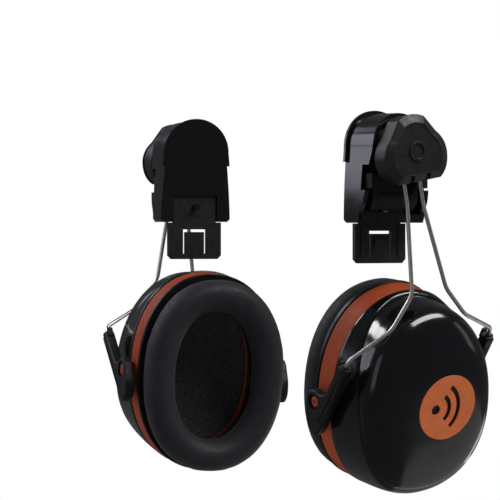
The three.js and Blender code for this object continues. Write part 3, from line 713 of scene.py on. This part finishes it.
CUSHION_PROFILE = [(0.0, 2.6), (0.05, 1.7), (0.14, 0.8), (0.28, 0.2), (0.45, 0.05), (0.64, 0.8), (0.8, 2.4),
                   (0.93, 4.9), (0.995, 7.7), (0.975, 10.2), (0.91, 12.6), (0.8, 14.8), (0.65, 16.7),
                   (0.48, 18.0), (0.3, 18.4), (0.13, 17.7), (0.0, 16.2)]


def cushion_rings(shrink, count):
    """the cushion's section, smoothed and pulled in by an amount, carried round its oval"""
    table = [(CUSHION_BACK - part * CUSHION_THICK, d) for part, d in CUSHION_PROFILE]
    section = inset([(-d, x) for x, d in smooth_run(table, 4)][::-1], shrink)
    return [oval_ring(x, CUSHION_A + d, CUSHION_B + d, count=count) for d, x in section]


def puffed(made, frames=20, pressure=4.0, most=1.2):
    """inflates a closed mesh a little as cloth with its back held, then keeps each point near where it was"""
    start = np.array([v.co for v in made.data.vertices])
    held = made.vertex_groups.new(name="held")
    held.add([v.index for v in made.data.vertices if v.co.x > CUSHION_BACK * MM - 0.0012], 1.0, "REPLACE")
    cloth = made.modifiers.new("cloth", "CLOTH")
    cloth.settings.use_pressure, cloth.settings.uniform_pressure_force = True, pressure
    cloth.settings.effector_weights.gravity = 0
    cloth.settings.vertex_group_mass = "held"
    cloth.settings.pin_stiffness = 1
    cloth.settings.quality = 4
    cloth.collision_settings.use_collision = False
    for step in range(1, frames + 1):
        bpy.context.scene.frame_set(step)
    applied(made)
    end = np.array([v.co for v in made.data.vertices])
    move = end - start
    length = np.linalg.norm(move, axis=1, keepdims=True)
    end = start + move * np.minimum(1, most * MM / np.maximum(length, 1e-9))
    for vertex, place in zip(made.data.vertices, end):
        vertex.co = place
    bpy.context.scene.frame_set(1)
    return made


def ear_cushion():
    """the soft ring in metres in the cup's own axes: puffed, then creased where the film is drawn in"""
    made = skin("ear_cushion", cushion_rings(0.25, 160), Matrix.Scale(MM, 4), loop=True)
    remesh = made.modifiers.new("remesh", "REMESH")
    remesh.mode, remesh.voxel_size = "VOXEL", 0.0022
    applied(made)
    puffed(made)
    relax = made.modifiers.new("relax", "CORRECTIVE_SMOOTH")
    relax.iterations, relax.use_only_smooth = 8, True
    finer = made.modifiers.new("finer", "SUBSURF")
    finer.levels = 1
    applied(made)
    for vertex in made.data.vertices:
        crease_film(vertex)
    made.data.transform(Matrix.Translation(Vector((0, CUSHION_Y, CUSHION_Z)) * MM))
    return made


def crease_film(vertex):
    """fine folds that run across the film near its inner edge and fade out over the crown"""
    x, y, z = vertex.co / MM
    turn = math.atan2(z / CUSHION_B, y / CUSHION_A)
    reach = math.hypot(y / CUSHION_A, z / CUSHION_B)
    inner = max(0.0, min(1.0, (0.72 - reach) / 0.14))
    fold = noise.noise(Vector((math.cos(turn) * 6, math.sin(turn) * 6, x * 0.08)))
    deep = noise.noise(Vector((math.cos(turn) * 2.2, math.sin(turn) * 2.2, x * 0.12 + 7)))
    amount = 0.28 * inner * fold + 0.25 * deep * min(1.0, inner + 0.35)
    vertex.co += Vector((0, y, z)).normalized() * amount * MM


def acoustic_foam():
    """the liner's dished front in fine quads, pitted, and its hidden back"""
    dish = smooth_run([(16.4, 0.05, 0.05), (16.2, 8, 13), (15.4, 15, 24), (13.2, 20, 31), (10.7, 23.4, 35.6),
                       (10.1, 25.4, 38.2), (10.1, 30.6, 43.7)], 10)
    back = [(12.7, 30.6, 43.7), (16.8, 33.8, 46.3), (26, 33.8, 46), (26, 0.05, 0.05)]
    made = skin("acoustic_foam", [oval_ring(*row) for row in [*dish, *back]])
    for vertex in made.data.vertices:
        if vertex.co.x < 16.6 and math.hypot(vertex.co.y / 30, vertex.co.z / 43) < 0.98:
            vertex.co.x += 0.35 * noise.noise(vertex.co * 0.9) + 0.22 * noise.noise(vertex.co * 2.3)
    return made


def cup_badge():
    """a disc with a dot and two spreading arcs cut through it"""
    front = CUP_DEEP + 0.1
    disc = prism("cup_badge", circle(BADGE_R, count=144), front - BADGE_THICK, front)
    cutters = [rod("x", 2.6, front - 3, front + 3, (-7, 0))]
    for radius in (7, 12.6):
        outer = circle(radius + 2.4, (-7, 0), 40, -50 * DEG, 100 * DEG)
        inner = circle(radius, (-7, 0), 40, -50 * DEG, 100 * DEG)
        cutters.append(prism("arc", outer + inner[::-1], front - 3, front + 3))
    badge = rounded(combine(disc, cutters), 0.18, 3)
    badge.data.transform(Matrix.Translation((0, BADGE_Y, BADGE_Z)))
    return badge


# ---- one unit ------------------------------------------------------------------------------------------
def build_unit(side):
    at = unit_frames(side)
    look = MATERIALS

    def put(made, name, slot, body, where, surface=None, angle=35):
        return finish_piece(made, side, name, look[surface or slot], body, (name.replace("_fine", ""),),
                            at[where], angle)

    put(clip_shell(), "clip_shell_fine", "gloss_black", "clips", "clip")
    put(slot_adapter(), "slot_adapter_fine", "satin_black", "clips", "clip")
    put(carrier(), "carrier_fine", "matte_black", "carrier", "clip")
    put(knob_base(), "knob_base_fine", "satin_black", "knob", "knob", angle=50)
    put(knob_cap(), "knob_cap_fine", "satin_black", "knob", "knob", angle=24)
    put(wire_yoke(), "wire_yoke_fine", "steel", "yoke", "yoke", angle=60)
    put(yoke_arm(-1), "yoke_arm_front_fine", "satin_black", "yoke", "yoke", "arm")
    put(yoke_arm(1), "yoke_arm_rear_fine", "satin_black", "yoke", "yoke", "arm")
    put(cup_shell(), "cup_shell_fine", "gloss_black", "cup", "cup", angle=50)
    put(pivot_ring(), "pivot_ring_fine", "orange", "cup", "cup")
    put(seal_plate(), "seal_plate_fine", "gloss_black", "cup", "cup", "plate", 60)
    put(acoustic_foam(), "acoustic_foam_fine", "foam", "cup", "cup", angle=70)
    put(cup_badge(), "cup_badge_fine", "badge_orange", "cup", "cup")
    cushion = ear_cushion()
    cushion.data.transform(Matrix.Scale(1 / MM, 4))
    put(cushion, "ear_cushion_fine", "soft_black", "cup", "cup", angle=180)
    for node in ("adapter_screw", "detent_spring", "flip_pin", "knob_washer", "knob_screw"):
        made = frame["nodes"][f"{side}_{node}"]
        made.data.materials.clear()
        made.data.materials.append(look["steel"])


for side in SIDES:
    build_unit(side)


# ---- stage, light and camera ---------------------------------------------------------------------------
FLOOR_Z, FLOOR_REACH = -0.3, 1.6
CAMERA_AZIMUTH, CAMERA_ELEVATION, CAMERA_DISTANCE = 63.5 * DEG, 0.5 * DEG, 2.181
CAMERA_TARGET = Vector((0, -0.0186, -0.0142))
LENS_OVER_SENSOR = 8.468


def pale_floor():
    """a round pale floor a little way under the hanging object"""
    ring = [(FLOOR_REACH * math.cos(t), FLOOR_REACH * math.sin(t), FLOOR_Z)
            for t in np.linspace(0, 2 * math.pi, 96, endpoint=False)]
    made = new_object("floor", ring, [tuple(range(len(ring)))])
    paper = Surface("pale_paper", (0.8, 0.8, 0.805), 0.7)
    made.data.materials.append(paper.bump(paper.noise(3, 3), 0.05, 0.1).material)
    made.visible_glossy = made.visible_shadow = False


def aim(made, target):
    made.rotation_euler = (Vector(target) - made.location).to_track_quat("-Z", "Y").to_euler()


def add_camera():
    data = bpy.data.cameras.new("camera")
    data.sensor_width, data.lens, data.clip_start = 36, 36 * LENS_OVER_SENSOR, 0.05
    made = bpy.data.objects.new("camera", data)
    bpy.context.scene.collection.objects.link(made)
    flat = math.cos(CAMERA_ELEVATION)
    back = Vector((math.sin(CAMERA_AZIMUTH) * flat, -math.cos(CAMERA_AZIMUTH) * flat,
                   math.sin(CAMERA_ELEVATION)))
    made.location = CAMERA_TARGET + back * CAMERA_DISTANCE
    aim(made, CAMERA_TARGET)
    bpy.context.scene.camera = made


def around(azimuth, elevation, distance):
    """a point around the object, its azimuth counted from the camera's, positive to the picture's right"""
    turn = CAMERA_AZIMUTH + azimuth * DEG
    flat = distance * math.cos(elevation * DEG)
    return Vector((math.sin(turn) * flat, -math.cos(turn) * flat, distance * math.sin(elevation * DEG)))


def softbox(name, place, size, power, color=(1, 1, 1), shape="RECTANGLE"):
    data = bpy.data.lights.new(name, "AREA")
    data.shape, data.size, data.size_y = shape, *size
    data.energy, data.color = power, color
    made = bpy.data.objects.new(name, data)
    bpy.context.scene.collection.objects.link(made)
    made.location = place
    made.visible_camera = False
    aim(made, (0, 0, -0.05))


def add_light():
    softbox("key", around(63, 48, 1.4), (1.1, 0.4), 13)
    softbox("window", around(-98, 44, 1.3), (0.4, 0.32), 4.5)
    softbox("left", around(-103, 17.4, 1.3), (0.75, 0.52), 2.1, (0.86, 0.88, 1))
    softbox("arch", around(-136, 25, 1.3), (0.6, 0.5), 1.1, (0.86, 0.88, 1), "ELLIPSE")
    softbox("front", around(-38, 2, 1.6), (0.45, 0.9), 0.8)
    softbox("right", around(95, 8, 1.3), (0.2, 0.7), 0.3)
    softbox("below", around(128, -44, 1.3), (2.1, 1), 2, shape="ELLIPSE")
    softbox("kicker", around(134, -24, 1.3), (0.4, 0.25), 0.6)
    world = bpy.data.worlds.new("studio")
    bpy.context.scene.world = world
    world.use_nodes = True
    tree = world.node_tree
    seen, lit = tree.nodes["Background"], tree.nodes.new("ShaderNodeBackground")
    seen.inputs["Color"].default_value, seen.inputs["Strength"].default_value = (1, 1, 1, 1), 1
    lit.inputs["Color"].default_value, lit.inputs["Strength"].default_value = (0.93, 0.95, 1, 1), 0.09
    path, choice = tree.nodes.new("ShaderNodeLightPath"), tree.nodes.new("ShaderNodeMixShader")
    tree.links.new(path.outputs["Is Camera Ray"], choice.inputs[0])
    tree.links.new(lit.outputs[0], choice.inputs[1])
    tree.links.new(seen.outputs[0], choice.inputs[2])
    tree.links.new(choice.outputs[0], tree.nodes["World Output"].inputs["Surface"])


pale_floor()
add_camera()
add_light()
bpy.context.scene.view_settings.view_transform = "Standard"
